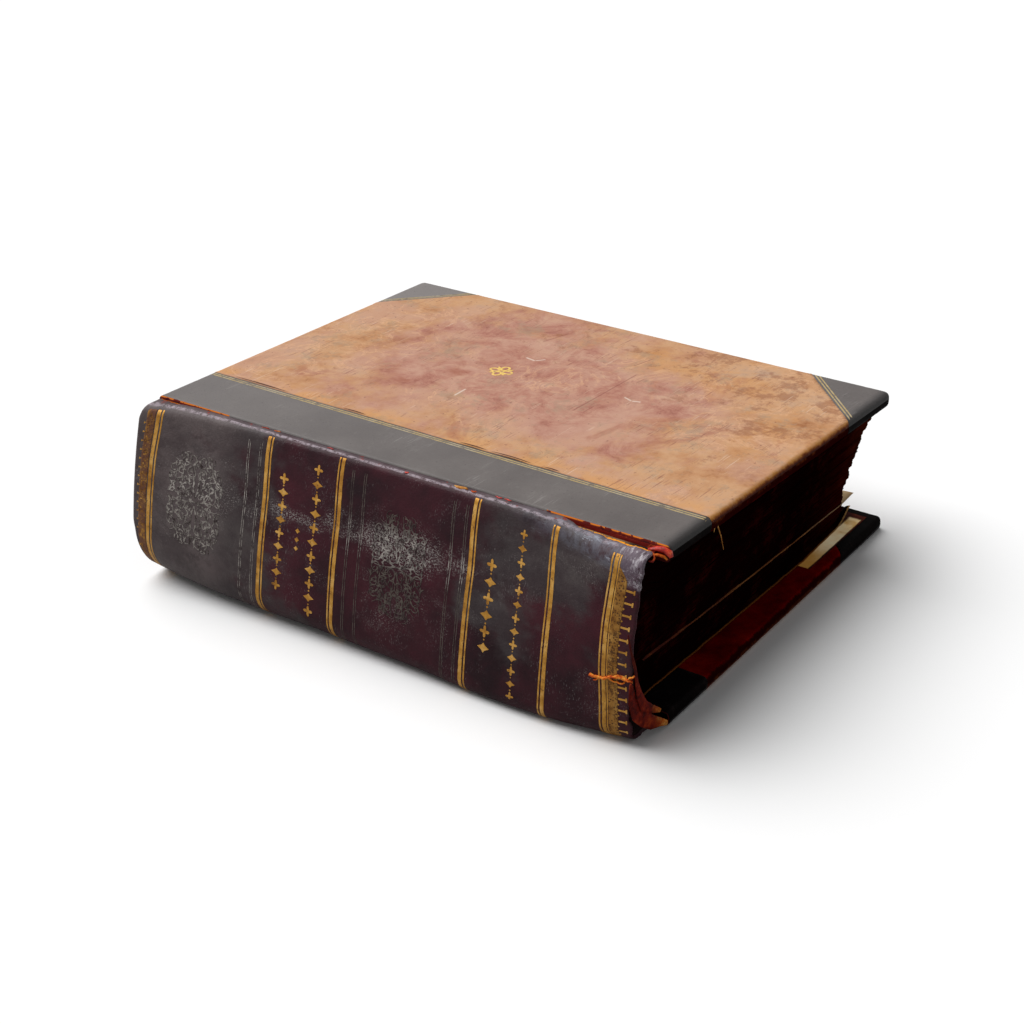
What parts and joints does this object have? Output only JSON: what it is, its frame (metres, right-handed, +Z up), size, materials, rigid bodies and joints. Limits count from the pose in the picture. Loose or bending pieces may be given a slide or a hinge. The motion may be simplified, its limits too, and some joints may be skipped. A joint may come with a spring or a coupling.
{
  "type": "antique half-leather book",
  "caption": "Thick worn half-leather book lying flat on its back board, with hinged front and back covers, cloth sides, leather corners and a gilt-ruled spine.",
  "frame": {"origin": "on the ground under the middle of the closed book's box", "axes": "+X from the spine to the fore-edge, +Y from the tail to the head, +Z up through the book"},
  "size_m": [0.243, 0.29, 0.09],
  "materials": {
    "page_edges": "dark maroon edge stain, dry and uneven",
    "endpaper": "cream, foxed and browned at the edges",
    "hemp_cord": "raw hemp",
    "lining_paper": "brown, rough",
    "silk_band": "faded silk",
    "spine_leather": "dark purple-brown, rubbed and scuffed, low sheen",
    "gold_leaf": "worn gold leaf",
    "side_leather": "black goatskin gone grey, fine grain",
    "side_cloth": "book cloth, maroon faded to tan and pink, stained",
    "millboard": "raw millboard"
  },
  "bodies": {
    "back_cover": {"back_board": "millboard", "back_side_cloth": "side_cloth", "back_spine_strip": "side_leather", "back_corner_head": "side_leather", "back_corner_tail": "side_leather", "back_fillets": "gold_leaf", "back_pastedown": "endpaper"},
    "leaves": {"text_block": "page_edges", "front_endleaf": "endpaper", "back_endleaf": "endpaper", "loose_leaf": "endpaper", "sewing_cords": "hemp_cord", "spine_lining": "lining_paper", "head_band": "silk_band", "spine_leather": "spine_leather", "spine_gilt": "gold_leaf"},
    "front_cover": {"front_board": "millboard", "front_side_cloth": "side_cloth", "front_spine_strip": "side_leather", "front_corner_head": "side_leather", "front_corner_tail": "side_leather", "front_fillets": "gold_leaf", "front_pastedown": "endpaper"}
  },
  "joints": [
    {"name": "back_cover_hinge", "type": "hinge", "parent": "back_cover", "child": "leaves", "pos_m": [-0.0925, 0, 0], "axis": [0, -1, 0], "range_deg": [0, 110]},
    {"name": "front_cover_hinge", "type": "hinge", "parent": "leaves", "child": "front_cover", "pos_m": [-0.0925, 0, 0.09], "axis": [0, -1, 0], "range_deg": [0, 180]}
  ]
}
